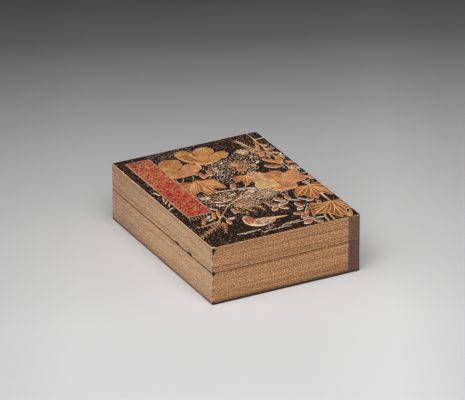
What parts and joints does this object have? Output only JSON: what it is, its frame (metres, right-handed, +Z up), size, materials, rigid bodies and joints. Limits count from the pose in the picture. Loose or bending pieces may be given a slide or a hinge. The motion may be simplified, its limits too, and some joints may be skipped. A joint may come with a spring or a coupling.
{
  "type": "book-shaped lidded box",
  "caption": "Small lacquered wooden box in the form of a thread-bound book, with a flush lift-off lid and flowers, leaves and a bird in low relief on the cover.",
  "frame": {"origin": "middle of the underside, on the surface the box stands on", "axes": "+Z up through the lid, +X from the fore-edge to the spine, +Y from the tail to the head of the book"},
  "size_m": [0.09, 0.12, 0.0346],
  "materials": {
    "page_lacquer": "gold lacquer over wood, lined like page edges, satin",
    "cover_lacquer": "black lacquer sprinkled with gold, satin",
    "gold_relief": "raised gold lacquer, satin",
    "silver_relief": "raised silver and pale gold lacquer, satin",
    "red_slip": "red lacquer with gold fret, satin"
  },
  "bodies": {
    "root": {"base": "page_lacquer", "lid": "cover_lacquer"}
  },
  "joints": []
}
